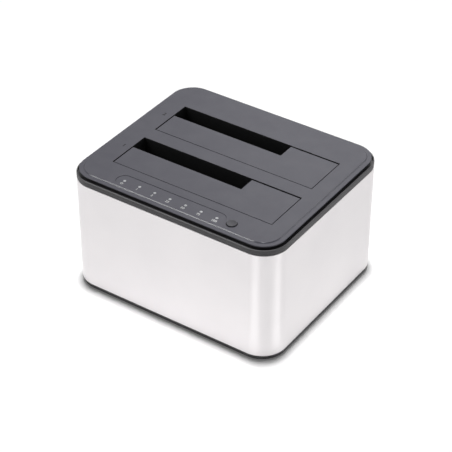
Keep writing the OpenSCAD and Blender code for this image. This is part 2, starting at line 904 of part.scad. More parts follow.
module dc_jack() {
    y_body = y_plate - plate_gap;
    color(plastic_black) difference() {
        union() {
            span([-port_pitch - jack[0] / 2, y_body - jack[2], z_parts],
                 [-port_pitch + jack[0] / 2, y_body, z_parts + jack[1]]);
            bar_y(-port_pitch, z_port, y_body - eps, y_port, jack_nose_r);
        }
        bar_y(-port_pitch, z_port, y_port - jack_depth, y_port + cut, jack_bore / 2);
    }
}

module dc_jack_pin() {
    color(steel) bar_y(-port_pitch, z_port, y_port - jack_depth, y_port - jack_pin_back, jack_pin_d / 2);
}

module power_switch() {
    color(plastic_black) difference() {
        span([port_pitch - switch[0] / 2, y_switch - switch_bore - skin, z_parts],
             [port_pitch + switch[0] / 2, y_switch, z_parts + switch[1]]);
        bar_y(port_pitch, z_port, y_switch - switch_bore, y_switch + cut, stem_r + run);
    }
}

module power_button() {
    color("#2b2b2e") {
        bar_y(port_pitch, z_port, y_flange, y_back - plate_face + power_proud, power_d / 2);
        bar_y(port_pitch, z_port, y_flange, y_flange + power_flange, power_d / 2 + power_flange_out);
        bar_y(port_pitch, z_port, y_switch - stem_grip, y_flange + eps, stem_r);
    }
}

// Ribbon

module ribbon_headers() {
    color(plastic_black) for (z = [z_parts, z_led_board - led_board_t - header[2]])
        translate([ribbon_x - header[0] / 2, led_y - header[1] / 2, z]) cube(header);
}

module ribbon_cable() {
    color("#8a8d92") span([ribbon_x - ribbon[0] / 2, led_y - ribbon[1] / 2, z_parts + header[2]],
        [ribbon_x + ribbon[0] / 2, led_y + ribbon[1] / 2, z_led_board - led_board_t - header[2]]);
}

aluminium_shell();
base_tray();
rubber_feet();
case_screws();
top_frame();
top_cover();
cover_screws();
indicator_panel();
light_guide();
led_board();
leds();
led_board_screws();
tact_switch();
tact_plunger();
clone_button();
front_flap();
rear_flap();
front_hinge_pin();
rear_hinge_pin();
front_flap_spring();
rear_flap_spring();
front_drive_well();
rear_drive_well();
well_screws();
main_board();
board_screws();
front_sata_socket();
rear_sata_socket();
front_sata_contacts();
rear_sata_contacts();
bridge_chips();
capacitors();
power_coils();
usb_port_shell();
usb_insulator();
dc_jack();
dc_jack_pin();
power_switch();
power_button();
port_plate();
ribbon_headers();
ribbon_cable();
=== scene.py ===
# %% [markdown]
# # A desktop dock for two hard drives
#
# The dock is a silver sleeve on a dark base. A dark frame and a grey cover close it on top, and two slots
# in the cover take the drives. An L-shaped flap fills most of each slot and swings down when a large drive
# goes in. The CAD model gives every size and every joint. This lesson gives it the looks: softened edges,
# the small mouldings that catch the light, and a finish for each material.

# %% Load the CAD frame
import json
import math

import bmesh
import bpy
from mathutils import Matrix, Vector


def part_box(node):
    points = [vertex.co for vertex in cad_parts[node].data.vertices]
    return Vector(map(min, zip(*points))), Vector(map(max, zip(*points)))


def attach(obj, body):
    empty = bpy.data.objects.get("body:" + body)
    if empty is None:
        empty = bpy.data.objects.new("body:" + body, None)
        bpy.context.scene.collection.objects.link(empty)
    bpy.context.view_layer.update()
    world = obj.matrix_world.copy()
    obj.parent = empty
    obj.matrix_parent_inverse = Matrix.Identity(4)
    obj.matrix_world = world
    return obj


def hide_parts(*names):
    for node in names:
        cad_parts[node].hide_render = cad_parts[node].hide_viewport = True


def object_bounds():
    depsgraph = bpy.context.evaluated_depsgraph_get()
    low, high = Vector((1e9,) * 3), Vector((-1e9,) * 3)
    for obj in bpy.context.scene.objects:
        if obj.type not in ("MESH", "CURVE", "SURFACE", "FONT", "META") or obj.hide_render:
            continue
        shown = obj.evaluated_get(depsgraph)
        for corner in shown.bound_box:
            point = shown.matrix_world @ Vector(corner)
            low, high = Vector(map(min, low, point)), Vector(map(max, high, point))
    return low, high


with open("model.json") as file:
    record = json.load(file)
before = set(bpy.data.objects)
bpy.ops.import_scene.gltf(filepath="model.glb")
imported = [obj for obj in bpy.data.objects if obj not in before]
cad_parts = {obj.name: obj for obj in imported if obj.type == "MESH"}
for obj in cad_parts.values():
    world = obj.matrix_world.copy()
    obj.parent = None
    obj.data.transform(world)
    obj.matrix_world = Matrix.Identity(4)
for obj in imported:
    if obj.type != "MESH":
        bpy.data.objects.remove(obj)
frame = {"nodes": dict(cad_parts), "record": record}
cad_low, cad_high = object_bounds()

MM = 0.001
nodes = frame["nodes"]
print("CAD box in mm:", [round(v / MM, 2) for v in cad_high - cad_low])

# %% [markdown]
# ## Camera
#
# The photograph looks down on the front right corner with a long lens, so the uprights lean together only a
# little. A camera on a polar grid is easy to set: turn it round the object, raise it, move it out, and aim
# it at a point near the middle of the case.

# %% Camera at the photograph's angle
camera_turn = math.radians(34.35)
camera_rise = math.radians(36.36)
camera_distance = 916.33 * MM
camera_lens = 128.69
aim_right, aim_up = -0.05 * MM, 32.0 * MM

toward_camera = Vector((
    math.sin(camera_turn) * math.cos(camera_rise),
    -math.cos(camera_turn) * math.cos(camera_rise),
    math.sin(camera_rise),
))
aim = Vector((math.cos(camera_turn) * aim_right, math.sin(camera_turn) * aim_right, aim_up))
bpy.ops.object.camera_add(location=aim + toward_camera * camera_distance)
camera = bpy.context.object
camera.rotation_mode = "QUATERNION"
camera.rotation_quaternion = (-toward_camera).to_track_quat("-Z", "Y")
camera.data.sensor_width = 36
camera.data.lens = camera_lens
camera.data.clip_start, camera.data.clip_end = 0.01, 100
bpy.context.scene.camera = camera
print("camera at", [round(v, 3) for v in camera.location])

# %% [markdown]
# ## Floor, world and lamps
#
# The photograph is a cut-out on white with a soft shadow close to the case. A floor that only reflects
# light would render grey, and more light would bleach the object. So the floor adds a little glow of its
# own, which only the camera and mirror-like surfaces see: it lifts the floor to white and leaves the
# object's shadow on it. From below, the floor is clear, so that the underside can be looked at. Past its
# edge the white world takes over.

# %% Helpers for node trees
def wire(tree, source, target):
    """Links the output of a node to an input."""
    tree.links.new(source, target)


def node_of(tree, kind, **inputs):
    """Adds a node and sets its inputs, whose names are written with _ for a space."""
    made = tree.nodes.new(kind)
    for name, value in inputs.items():
        made.inputs[name.replace("_", " ")].default_value = value
    return made


def reckoned(tree, operation, *values):
    """The result of a Math node, whose values are numbers or the outputs of other nodes."""
    sums = tree.nodes.new("ShaderNodeMath")
    sums.operation = operation
    for socket, value in zip(sums.inputs, values):
        if isinstance(value, (int, float)):
            socket.default_value = value
        else:
            wire(tree, value, socket)
    return sums.outputs["Value"]


def seen_directly(tree):
    """1 for rays from the camera, a mirror or glass, and 0 for the light that falls on things."""
    path = tree.nodes.new("ShaderNodeLightPath")
    mirrored = reckoned(tree, "MAXIMUM", path.outputs["Is Glossy Ray"], path.outputs["Is Transmission Ray"])
    return reckoned(tree, "MAXIMUM", path.outputs["Is Camera Ray"], mirrored)


# %% White world that lights softly
world_light = 0.15

world = bpy.data.worlds.new("studio")
world.use_nodes = True
bpy.context.scene.world = world
tree = world.node_tree
backdrop = tree.nodes["Background"]
backdrop.inputs["Color"].default_value = (1, 1, 1, 1)
strength = node_of(tree, "ShaderNodeMapRange", To_Min=world_light, To_Max=1.0)
wire(tree, seen_directly(tree), strength.inputs["Value"])
wire(tree, strength.outputs["Result"], backdrop.inputs["Strength"])
bpy.context.scene.view_settings.view_transform = "Standard"

# %% Floor that keeps the shadow
floor_size = 1.6
floor_white = (0.92, 0.92, 0.92, 1)
floor_glow = 0.08

bpy.ops.object.select_all(action="DESELECT")
bpy.ops.mesh.primitive_plane_add(size=floor_size)
floor = bpy.context.object
floor.name = "floor"
floor_paint = bpy.data.materials.new("floor_paint")
floor_paint.use_nodes = True
tree = floor_paint.node_tree
paint = tree.nodes["Principled BSDF"]
paint.inputs["Base Color"].default_value = floor_white
paint.inputs["Roughness"].default_value = 1
paint.inputs["Specular IOR Level"].default_value = 0
paint.inputs["Emission Color"].default_value = (1, 1, 1, 1)
glow = reckoned(tree, "MULTIPLY", seen_directly(tree), floor_glow)
wire(tree, glow, paint.inputs["Emission Strength"])
side = tree.nodes.new("ShaderNodeNewGeometry")
clear = tree.nodes.new("ShaderNodeBsdfTransparent")
one_way = tree.nodes.new("ShaderNodeMixShader")
wire(tree, side.outputs["Backfacing"], one_way.inputs["Fac"])
wire(tree, paint.outputs["BSDF"], one_way.inputs[1])
wire(tree, clear.outputs["BSDF"], one_way.inputs[2])
wire(tree, one_way.outputs["Shader"], tree.nodes["Material Output"].inputs["Surface"])
floor.data.materials.append(floor_paint)

# %% [markdown]
# ## Lamps
#
# One softbox high over the case does the lighting. It hangs a little behind and to the left, so the case
# throws a short soft shadow along its front and right sides, and the slots stay dark. The cards light
# nothing. They are only there to be mirrored, by the small bevel of the cover and by its flat top. Two
# strips that lie on the floor, in front of the corner and beside it, are mirrored by the round corner of
# the sleeve as upright bright bands.

# %% Softboxes and cards
middle = (cad_low + cad_high) / 2


def softbox(name, turn, rise, distance, size, power):
    """A square area lamp aimed at the case from a turn (0 in front, 90 right) and a rise, in degrees."""
    turn, rise = math.radians(turn), math.radians(rise)
    away = Vector((math.sin(turn) * math.cos(rise), -math.cos(turn) * math.cos(rise), math.sin(rise)))
    bpy.ops.object.light_add(type="AREA", location=middle + away * distance)
    lamp = bpy.context.object
    lamp.name = name
    lamp.data.size = size
    lamp.data.energy = power
    lamp.rotation_mode = "QUATERNION"
    lamp.rotation_quaternion = (-away).to_track_quat("-Z", "Y")
    return lamp


def card(name, turn, rise, distance, size, power):
    """A softbox that only shows in mirrors."""
    softbox(name, turn, rise, distance, size, power).visible_diffuse = False


softbox("top_box", -155, 88.1, 5.0, 0.43, 222.0)
card("step_card", -37.5, 41.6, 1.4, 0.5, 12.0)
card("side_step_card", 138, 27, 1.3, 0.4, 1.4)
card("cover_card", 199, 43.5, 0.414, 0.2, 0.34)

# %% Bright strips on the floor, seen only by mirrors
strip_glow, strip_length, strip_width, strip_height = 1.42, 0.13, 0.06, 0.0001
strip_taper = 0.25

strip_paint = bpy.data.materials.new("strip_paint")
strip_paint.use_nodes = True
paint = strip_paint.node_tree.nodes["Principled BSDF"]
paint.inputs["Base Color"].default_value = (0, 0, 0, 1)
paint.inputs["Specular IOR Level"].default_value = 0
paint.inputs["Emission Color"].default_value = (1, 1, 1, 1)
paint.inputs["Emission Strength"].default_value = strip_glow


def strip(name, right, front, turn):
    """A strip that starts narrow at a point beside the case, in millimetres, and runs off at a turn."""
    turn = math.radians(turn)
    along = Vector((math.sin(turn), -math.cos(turn), 0))
    start = Vector((right * MM, -front * MM, strip_height))
    bpy.ops.object.select_all(action="DESELECT")
    bpy.ops.mesh.primitive_plane_add(size=1, location=start + along * strip_length / 2, rotation=(0, 0, turn))
    plane = bpy.context.object
    plane.name = name
    plane.scale = (strip_width, strip_length, 1)
    for corner in plane.data.vertices:
        if corner.co.y > 0:
            corner.co.x *= strip_taper
    plane.visible_camera = plane.visible_diffuse = plane.visible_shadow = False
    plane.data.materials.append(strip_paint)


strip("front_strip", 57, 66, 2)
strip("right_strip", 76, 49, 97)

# %% [markdown]
# ## Finishes
#
# Each finish is a small node tree on Object coordinates, in metres, so that the grain has its real size. A
# noise gives the grain. It moves the colour a little, the roughness a little, and bends the light a little.

# %% Helpers for finishes
def finish(name, metallic=0.0):
    """A new material with its tree and its shader."""
    material = bpy.data.materials.new(name)
    material.use_nodes = True
    tree = material.node_tree
    shader = tree.nodes["Principled BSDF"]
    shader.inputs["Metallic"].default_value = metallic
    return material, tree, shader


def grain(tree, size, stretch=(1, 1, 1), detail=3.0):
    """Noise from 0 to 1 whose patches are about this many millimetres wide."""
    place = tree.nodes.new("ShaderNodeTexCoord")
    turn = node_of(tree, "ShaderNodeMapping", Scale=stretch)
    noise = node_of(tree, "ShaderNodeTexNoise", Scale=1 / (size * MM), Detail=detail)
    wire(tree, place.outputs["Object"], turn.inputs["Vector"])
    wire(tree, turn.outputs["Vector"], noise.inputs["Vector"])
    return noise.outputs["Fac"]


def tinted(tree, shader, value, dark, light):
    """Base colour that runs from dark to light with a value."""
    ramp = tree.nodes.new("ShaderNodeValToRGB")
    ramp.color_ramp.elements[0].position = 0.3
    ramp.color_ramp.elements[1].position = 0.7
    ramp.color_ramp.elements[0].color = (*dark, 1)
    ramp.color_ramp.elements[1].color = (*light, 1)
    wire(tree, value, ramp.inputs["Fac"])
    wire(tree, ramp.outputs["Color"], shader.inputs["Base Color"])
    return ramp


def rough(tree, shader, value, low, high):
    """Roughness that runs from low to high with a value."""
    span = node_of(tree, "ShaderNodeMapRange", From_Min=0.3, From_Max=0.7, To_Min=low, To_Max=high)
    wire(tree, value, span.inputs["Value"])
    wire(tree, span.outputs["Result"], shader.inputs["Roughness"])


def bumped(tree, shader, value, depth, strength=1.0):
    """Surface that rises and falls with a value by a depth in millimetres."""
    bump = node_of(tree, "ShaderNodeBump", Strength=strength, Distance=depth * MM)
    wire(tree, value, bump.inputs["Height"])
    wire(tree, bump.outputs["Normal"], shader.inputs["Normal"])


# %% Silver sleeve: aluminium blasted to a satin, then anodised
def anodised_silver():
    material, tree, shader = finish("anodised_silver", metallic=1.0)
    blast = grain(tree, 0.22)
    tinted(tree, shader, grain(tree, 40), (0.695, 0.674, 0.682), (0.725, 0.703, 0.709))
    rough(tree, shader, blast, 0.34, 0.40)
    bumped(tree, shader, blast, 0.004, 0.35)
    shader.inputs["Anisotropic"].default_value = 0.5
    shader.inputs["Anisotropic Rotation"].default_value = 0.25
    return material


# %% Plastics: a tone that drifts a little, and the grain of the mould
def moulded(name, dark, light, smooth, coarse, grain_size=0.4, depth=0.02, shine=0.5):
    material, tree, shader = finish(name)
    shader.inputs["Specular IOR Level"].default_value = shine
    texture = grain(tree, grain_size)
    tinted(tree, shader, grain(tree, 10), dark, light)
    rough(tree, shader, texture, smooth, coarse)
    bumped(tree, shader, texture, depth, 0.45)
    return material


def smooth_between(material, low, high, drop):
    """Takes the grain off a moulding between two heights, and lowers its roughness there."""
    tree = material.node_tree
    shader, spread, bump = (tree.nodes[name] for name in ("Principled BSDF", "Map Range", "Bump"))
    place = tree.nodes.new("ShaderNodeTexCoord")
    parts = tree.nodes.new("ShaderNodeSeparateXYZ")
    wire(tree, place.outputs["Object"], parts.inputs["Vector"])
    inside = reckoned(tree, "COMPARE", parts.outputs["Z"], (low + high) / 2 * MM, (high - low) / 2 * MM)
    lowered = reckoned(tree, "MULTIPLY_ADD", inside, -drop, spread.outputs["Result"])
    wire(tree, lowered, shader.inputs["Roughness"])
    grained = bump.inputs["Strength"].default_value
    wire(tree, reckoned(tree, "MULTIPLY_ADD", inside, -grained, grained), bump.inputs["Strength"])


# %% Bare metals: fine scratches along one direction
def bare_metal(name, dark, light, smooth, coarse, stretch=(1, 1, 0.08)):
    material, tree, shader = finish(name, metallic=1.0)
    scratch = grain(tree, 0.15, stretch)
    tinted(tree, shader, grain(tree, 2), dark, light)
    rough(tree, shader, scratch, smooth, coarse)
    bumped(tree, shader, scratch, 0.003, 0.3)
    return material


# %% Circuit board: solder mask over copper tracks
def solder_mask():
    material, tree, shader = finish("solder_mask")
    place = tree.nodes.new("ShaderNodeTexCoord")
    tracks = node_of(tree, "ShaderNodeTexBrick", Scale=1.0, Mortar_Size=0.12 * MM, Brick_Width=3.1 * MM,
                     Row_Height=0.9 * MM, Color1=(0.2, 0.2, 0.2, 1), Color2=(0.5, 0.5, 0.5, 1),
                     Mortar=(1, 1, 1, 1))
    wire(tree, place.outputs["Object"], tracks.inputs["Vector"])
    tinted(tree, shader, tracks.outputs["Color"], (0.010, 0.075, 0.040), (0.022, 0.125, 0.068))
    rough(tree, shader, grain(tree, 0.6), 0.28, 0.36)
    bumped(tree, shader, tracks.outputs["Fac"], 0.02, 0.5)
    return material


# %% One finish for each material slot
cover_dark, cover_light = (0.057, 0.056, 0.071), (0.067, 0.066, 0.081)

finishes = {
    "shell": anodised_silver(),
    "cover": moulded("textured_grey", cover_dark, cover_light, 0.42, 0.56, 0.32, shine=0.3),
    "band": moulded("satin_dark", (0.034, 0.033, 0.036), (0.042, 0.041, 0.044), 0.42, 0.50, 0.5, 0.006),
    "button": moulded("button_grey", (0.030, 0.029, 0.036), (0.036, 0.035, 0.042), 0.38, 0.48, 0.3, 0.008,
                      shine=0.3),
    "black_plastic": moulded("moulded_black", (0.006, 0.006, 0.0066), (0.009, 0.009, 0.0098), 0.55, 0.68,
                             shine=0.2),
    "rubber": moulded("soft_rubber", (0.014, 0.014, 0.015), (0.022, 0.022, 0.023), 0.72, 0.85, 0.25, 0.03),
    "steel": bare_metal("bright_steel", (0.50, 0.51, 0.53), (0.64, 0.65, 0.67), 0.22, 0.34),
    "contact": bare_metal("gold_plate", (0.74, 0.53, 0.19), (0.83, 0.63, 0.26), 0.20, 0.30),
    "clear_guide": moulded("frosted_guide", (0.35, 0.36, 0.37), (0.42, 0.43, 0.44), 0.30, 0.42, 0.3, 0.004),
    "lamp": moulded("lamp_white", (0.56, 0.57, 0.56), (0.63, 0.64, 0.63), 0.22, 0.30, 0.3, 0.002),
    "board": solder_mask(),
    "chip": moulded("chip_resin", (0.013, 0.013, 0.014), (0.020, 0.020, 0.022), 0.50, 0.62, 0.12, 0.006),
    "can": moulded("can_sleeve", (0.016, 0.018, 0.026), (0.026, 0.028, 0.038), 0.24, 0.32, 0.6, 0.004),
    "coil": moulded("ferrite", (0.040, 0.040, 0.042), (0.075, 0.075, 0.078), 0.62, 0.76, 0.18, 0.02),
    "usb_blue": moulded("port_blue", (0.018, 0.110, 0.360), (0.026, 0.135, 0.420), 0.34, 0.44, 0.4, 0.008),
    "ribbon": moulded("ribbon_grey", (0.22, 0.23, 0.24), (0.28, 0.29, 0.30), 0.40, 0.50, 0.5, 0.006),
}
print(len(finishes), "finishes")

# %% [markdown]
# ## Modelling helpers
#
# Every new piece is made as by hand: a primitive at its size and place, shaped in edit mode, finished with
# applied modifiers. The helpers below are the moves that come back on every piece. Lengths in the calls are
# millimetres.

# %% Helpers: selection
NEAR = 0.02


def only(*pieces):
    """Selects these objects and no others, and makes the last one active."""
    bpy.ops.object.select_all(action="DESELECT")
    for piece in pieces:
        piece.select_set(True)
    bpy.context.view_layer.objects.active = pieces[-1]


def opened(piece):
    """Takes a piece into edit mode with nothing selected."""
    only(piece)
    bpy.ops.object.mode_set(mode="EDIT")
    bpy.ops.mesh.select_all(action="DESELECT")


def closed():
    """Goes back to object mode."""
    bpy.ops.object.mode_set(mode="OBJECT")


def pick(kind, test):
    """In edit mode, selects the vertices, edges or faces that pass a test, and no others."""
    bpy.ops.mesh.select_mode(type=kind)
    bpy.ops.mesh.select_all(action="DESELECT")
    data = bpy.context.object.data
    mesh = bmesh.from_edit_mesh(data)
    members = {"VERT": mesh.verts, "EDGE": mesh.edges, "FACE": mesh.faces}[kind]
    picked = [member for member in members if test(member)]
    for member in picked:
        member.select_set(True)
    mesh.select_flush_mode()
    bmesh.update_edit_mesh(data)
    return len(picked)


def at_height(member, height):
    """True when every vertex of an edge or face lies at a height."""
    return all(abs(vertex.co.z / MM - height) < NEAR for vertex in member.verts)


def upright(edge):
    """True for an edge that runs along Z."""
    along = edge.verts[1].co - edge.verts[0].co
    return abs(along.z) > along.length * 0.999


# %% Helpers: making and placing
def box_of(node):
    """Lowest and highest corner of a CAD node, in millimetres."""
    low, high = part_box(node)
    return low / MM, high / MM


def settled(name):
    """Names the active object and puts its place, turn and size into its mesh."""
    piece = bpy.context.object
    piece.name = name
    piece.data.name = name
    bpy.ops.object.transform_apply(location=True, rotation=True, scale=True)
    return piece


def block(name, low, high):
    """A cube stretched from its lowest corner to its highest one."""
    low, high = Vector(low) * MM, Vector(high) * MM
    bpy.ops.object.select_all(action="DESELECT")
    bpy.ops.mesh.primitive_cube_add(size=1, location=(low + high) / 2, scale=high - low)
    return settled(name)


def turned(name, profile, place, axis="Z", steps=48):
    """A profile of (radius, height) points spun once round an axis, as on a lathe, and set at a place."""
    def point(radius, height):
        return Vector((radius, 0, height) if axis == "Z" else (radius, height, 0)) * MM

    spin_axis = (0, 0, 1) if axis == "Z" else (0, 1, 0)
    bpy.ops.object.select_all(action="DESELECT")
    bpy.ops.mesh.primitive_plane_add(size=MM)
    bpy.ops.object.mode_set(mode="EDIT")
    bpy.ops.mesh.select_mode(type="VERT")
    bpy.ops.mesh.merge(type="CENTER")
    bpy.ops.transform.translate(value=point(*profile[0]))
    for before, after in zip(profile, profile[1:]):
        step = point(*after) - point(*before)
        bpy.ops.mesh.extrude_vertices_move(TRANSFORM_OT_translate={"value": step})
    bpy.ops.mesh.select_all(action="SELECT")
    bpy.ops.mesh.spin(steps=steps, angle=2 * math.pi, center=(0, 0, 0), axis=spin_axis)
    bpy.ops.mesh.select_all(action="SELECT")
    bpy.ops.mesh.remove_doubles(threshold=0.0005 * MM)
    bpy.ops.mesh.normals_make_consistent(inside=False)
    closed()
    bpy.ops.transform.translate(value=Vector(place) * MM)
    return settled(name)


def arc(radius, height, size, start, stop, steps=5):
    """Points of a profile on an arc round (radius, height), with angles in degrees."""
    angles = [math.radians(start + (stop - start) * i / steps) for i in range(steps + 1)]
    return [(radius + size * math.cos(a), height + size * math.sin(a)) for a in angles]


def copied(piece, name, by):
    """A copy with its own mesh, moved."""
    only(piece)
    bpy.ops.object.duplicate()
    bpy.ops.transform.translate(value=Vector(by) * MM)
    return settled(name)


def joined(name, pieces):
    """Several objects as one."""
    only(*pieces)
    bpy.ops.object.join()
    return settled(name)


def modified(piece, kind, **settings):
    """Adds a modifier, sets it up and applies it."""
    change = piece.modifiers.new(kind.lower(), kind)
    for name, value in settings.items():
        setattr(change, name, value)
    only(piece)
    bpy.ops.object.modifier_apply(modifier=change.name)


def cut_out(piece, cutter):
    """Cuts a second object out of a piece, and removes it."""
    modified(piece, "BOOLEAN", operation="DIFFERENCE", solver="EXACT", object=cutter)
    bpy.data.objects.remove(cutter)


crisp_from, bevel_from = math.radians(32), math.radians(38)


def shaded(piece):
    """Smooth shading that keeps flat faces flat and edges crisp."""
    only(piece)
    bpy.ops.object.shade_smooth_by_angle(angle=crisp_from)
    modified(piece, "WEIGHTED_NORMAL", keep_sharp=True)


def softened(piece, width, segments=2):
    """Rounds every sharp edge by a width, as moulding, casting or tumbling leaves it."""
    modified(piece, "BEVEL", width=width * MM, segments=segments, limit_method="ANGLE",
             angle_limit=bevel_from, use_clamp_overlap=False)
    shaded(piece)


def traced(name, node):
    """A copy of a CAD node with its triangles merged into whole faces, ready to be shaped further."""
    piece = bpy.data.objects.new(name, nodes[node].data.copy())
    bpy.context.scene.collection.objects.link(piece)
    piece.data.materials.clear()
    opened(piece)
    bpy.ops.mesh.select_all(action="SELECT")
    bpy.ops.mesh.remove_doubles(threshold=0.001 * MM)
    bpy.ops.mesh.dissolve_limited(angle_limit=math.radians(0.5))
    bpy.ops.mesh.customdata_custom_splitnormals_clear()
    closed()
    return piece


def dressed(piece, slot, body="case", stands_for=()):
    """Gives a piece its finish and body, and hides the CAD nodes that it stands for."""
    piece.data.materials.clear()
    piece.data.materials.append(finishes[slot])
    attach(piece, body)
    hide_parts(*stands_for)
    print(piece.name, "has", len(piece.data.polygons), "faces")
    return piece


# %% [markdown]
# ## Sleeve
#
# The sleeve is one loop of extruded aluminium with large round corners and a window at the back for the
# ports. A cube takes the outer size, a bevel rounds its four uprights, and a Solidify gives the wall. The
# window is cut last, and a very small bevel breaks the sawn edges so that they catch a thin line of light.

# %% Sleeve
corner_radius, sleeve_wall = 15.0, 1.6
sleeve_low, sleeve_high = box_of("aluminium_shell")
plate_low, plate_high = box_of("port_plate")
plate_overlap, window_rise = 2.0, 3.5

sleeve = block("sleeve", sleeve_low, sleeve_high)
opened(sleeve)
pick("EDGE", upright)
bpy.ops.mesh.bevel(offset=corner_radius * MM, segments=24, affect="EDGES")
pick("FACE", lambda face: abs(face.normal.z) > 0.9)
bpy.ops.mesh.delete(type="ONLY_FACE")
closed()
modified(sleeve, "SOLIDIFY", thickness=sleeve_wall * MM, offset=-1)
window_low = (plate_low.x + plate_overlap, sleeve_high.y - 2 * sleeve_wall, plate_low.z + window_rise)
window_high = (plate_high.x - plate_overlap, sleeve_high.y + sleeve_wall, plate_high.z - plate_overlap)
cut_out(sleeve, block("window", window_low, window_high))
softened(sleeve, 0.15)
dressed(sleeve, "shell", stands_for=["aluminium_shell"])

# %% [markdown]
# ## Cover
#
# The cover is a grey moulding: a flat border, a small bevel up to a raised middle, and a thin upright edge.
# The slots, the inlay and the button go through it. The CAD copy has all of this with knife-sharp edges.
# Each kind of edge is picked by its height and its distance from the case outline, and gets the radius that
# the light shows on the real one.

# %% Distance from the outline of the case
half_width, half_depth = sleeve_high.x, sleeve_high.y


def inset_of(vertex):
    """How far a vertex lies inside the outline of the case, in millimetres."""
    across = abs(vertex.co.x / MM) - (half_width - corner_radius)
    along = abs(vertex.co.y / MM) - (half_depth - corner_radius)
    outside = math.hypot(max(across, 0), max(along, 0))
    return corner_radius - outside - min(max(across, along), 0)


def at_inset(edge, inset):
    """True for an edge that lies this far inside the outline of the case."""
    return all(abs(inset_of(vertex) - inset) < NEAR for vertex in edge.verts)


# %% Cover
cover_top, cover_under = box_of("top_cover")[1].z, 74.3
cover_inset, border_width, bevel_width, bevel_drop = 1.6, 2.4, 0.5, 0.5
middle_inset = cover_inset + border_width + bevel_width
slots_from = -37.0
border_edge, middle_edge, slot_edge, hole_edge = 0.2, 0.15, 0.06, 0.08


def rounded(width, segments, test):
    """Bevels the edges of the open piece that pass a test."""
    count = pick("EDGE", test)
    bpy.ops.mesh.bevel(offset=width * MM, segments=segments, affect="EDGES", clamp_overlap=False)
    print("rounded", count, "edges by", width)


sharp_turn = 0.6


def sharp_on_top(edge):
    """True for an edge of the top face where the surface turns sharply."""
    return at_height(edge, cover_top) and edge.calc_face_angle(0) > sharp_turn


def in_slots(edge):
    """True for an edge behind the indicator row, where the slots are."""
    return all(vertex.co.y / MM > slots_from for vertex in edge.verts)


cover = traced("cover", "top_cover")
opened(cover)
rounded(border_edge, 3, lambda edge: at_height(edge, cover_top - bevel_drop) and at_inset(edge, cover_inset))
rounded(middle_edge, 3, lambda edge: at_height(edge, cover_top) and at_inset(edge, middle_inset))
rounded(slot_edge, 3, lambda edge: sharp_on_top(edge) and in_slots(edge))
rounded(hole_edge, 2, lambda edge: sharp_on_top(edge) and not in_slots(edge))
closed()
shaded(cover)
dressed(cover, "cover", stands_for=["top_cover"])

# %% Cover: its bevel is smooth, where the rest has grain
bevel_margin, bevel_smoother = 0.02, 0.28

stepped_grey = finishes["cover"].copy()
stepped_grey.name = "stepped_grey"
smooth_between(stepped_grey, cover_top - bevel_drop + bevel_margin, cover_top - bevel_margin, bevel_smoother)
cover.data.materials[0] = stepped_grey

# %% [markdown]
# ## Black linings that paint the shade in the slots
#
# Round the flaps the gap is black right up to the edge of the cover. The slot walls there lie only in shade,
# and a thin black collar inside each cut-out paints that shade onto them. A cube of the slot's size, without
# its top, bottom and front, is the collar's outer face. A Solidify gives it a tenth of a millimetre, so it
# doesn't touch the flap. The front stays open for the hinge.

# %% Slot linings, which paint the shade of the slot walls black
slot_left, slot_right = -51.1, 53.5
slot_fronts, slot_width = {"front": -35.95, "rear": 3.3}, 29.45
shade_lining_wall = 0.1

for bay, slot_front in slot_fronts.items():
    # Painted shade: each collar is a black sheet over slot walls that lie only in shade.
    shade_lining = block(bay + "_lining", (slot_left, slot_front, cover_under),
                   (slot_right, slot_front + slot_width, cover_top - slot_edge))
    opened(shade_lining)
    pick("FACE", lambda face: abs(face.normal.z) > 0.9 or face.normal.y < -0.9)
    bpy.ops.mesh.delete(type="FACE")
    closed()
    modified(shade_lining, "SOLIDIFY", thickness=shade_lining_wall * MM, offset=-1)
    softened(shade_lining, 0.02, 1)
    dressed(shade_lining, "black_plastic")

# %% [markdown]
# ## Frame
#
# The dark frame between sleeve and cover is moulded with a groove round the cover, and reads as a grey band
# under a black line. The CAD copy has the groove already. It only needs edges that aren't sharp.

# %% Frame
frame_ring = traced("frame_ring", "top_frame")
softened(frame_ring, 0.12)
dressed(frame_ring, "band", stands_for=["top_frame"])

# %% [markdown]
# ## Flaps
#
# Each flap is an L-shaped plate of the cover's plastic with two hinge knuckles under its front edge. The
# upper edges get a small round, so that the outline reads as a moulded edge, and the rest is only broken.

# %% Flaps
for bay in slot_fronts:
    flap = traced(bay + "_plate", bay + "_flap")
    opened(flap)
    rounded(0.08, 3, sharp_on_top)
    closed()
    softened(flap, 0.06)
    dressed(flap, "cover", bay + "_flap", [bay + "_flap"])

# %% [markdown]
# ## Flap springs
#
# A torsion spring closes each flap. It is wound on the hinge pin, with one leg down to the well and one up
# to the flap. A small circle is the wire's section, and a Screw carries it round the pin. The two end rings
# are pulled out into straight legs and capped, and the second spring is a copy of the first.

# %% Flap springs
coil_radius, wire_radius, coil_pitch, coil_steps = 1.4, 0.25, 1.0, 176
coil_start, coil_sweep = math.radians(-15), math.radians(1760)
coil_length = coil_pitch * coil_sweep / (2 * math.pi)
leg_down, leg_up = 4.0, 3.5
hinge_back, hinge_height, coil_left = 0.9, 73.6, 3.7

bpy.ops.object.select_all(action="DESELECT")
bpy.ops.mesh.primitive_circle_add(vertices=12, radius=wire_radius * MM, location=(0, coil_radius * MM, 0))
spring = settled("front_spring")
modified(spring, "SCREW", axis="X", angle=coil_sweep, screw_offset=coil_length * MM,
         steps=coil_steps, render_steps=coil_steps)
ends = {
    "start": (lambda edge: edge.verts[0].co.x / MM < coil_length / 2, (0, 0, -leg_down)),
    "stop": (lambda edge: edge.verts[0].co.x / MM > coil_length / 2,
             (0, -leg_up * math.sin(coil_sweep), leg_up * math.cos(coil_sweep))),
}
opened(spring)
for at_end, leg in ends.values():
    pick("EDGE", lambda edge: edge.is_boundary and at_end(edge))
    bpy.ops.mesh.extrude_edges_move(TRANSFORM_OT_translate={"value": Vector(leg) * MM})
    bpy.ops.mesh.edge_face_add()
bpy.ops.mesh.select_all(action="SELECT")
bpy.ops.mesh.normals_make_consistent(inside=False)
closed()
